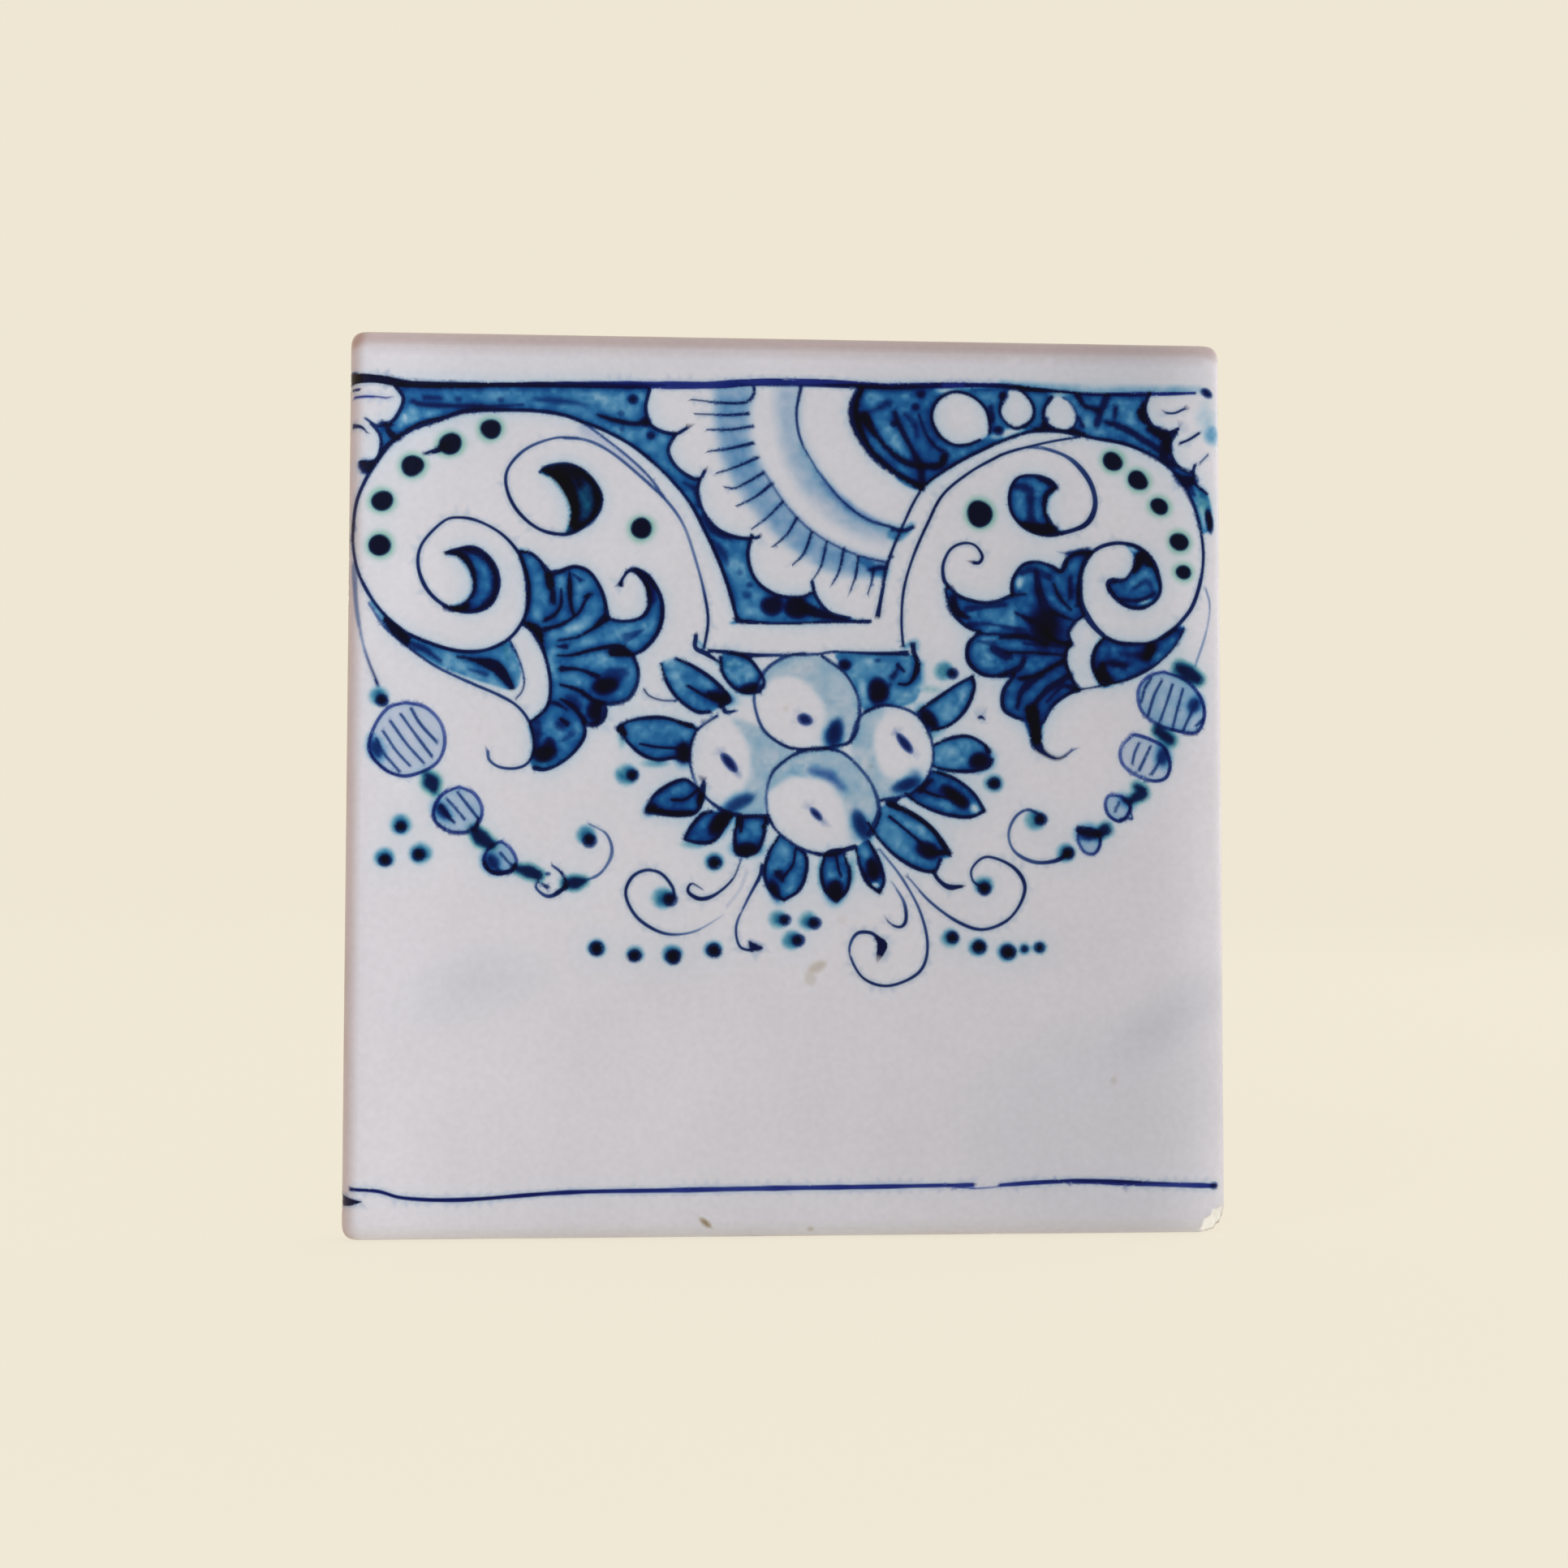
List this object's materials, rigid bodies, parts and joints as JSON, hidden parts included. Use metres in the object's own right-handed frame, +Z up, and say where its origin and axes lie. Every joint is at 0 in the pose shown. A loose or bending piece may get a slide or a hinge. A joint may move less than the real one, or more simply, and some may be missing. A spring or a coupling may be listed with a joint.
{
  "type": "decorative wall tile",
  "caption": "Square tin-glazed wall tile with soft rounded arrises, a painted blue scroll and fruit ornament, one chipped corner and a grooved back.",
  "frame": {"origin": "centre of the flat back face, where the tile is bedded on the wall", "axes": "+Y out of the back face towards the wall, the painted face towards -Y, +Z up the painting, +X to the right as seen from the front"},
  "size_m": [0.14, 0.008, 0.1436],
  "materials": {
    "tin_glaze": "glossy"
  },
  "bodies": {
    "root": {"tile": "tin_glaze"}
  },
  "joints": []
}
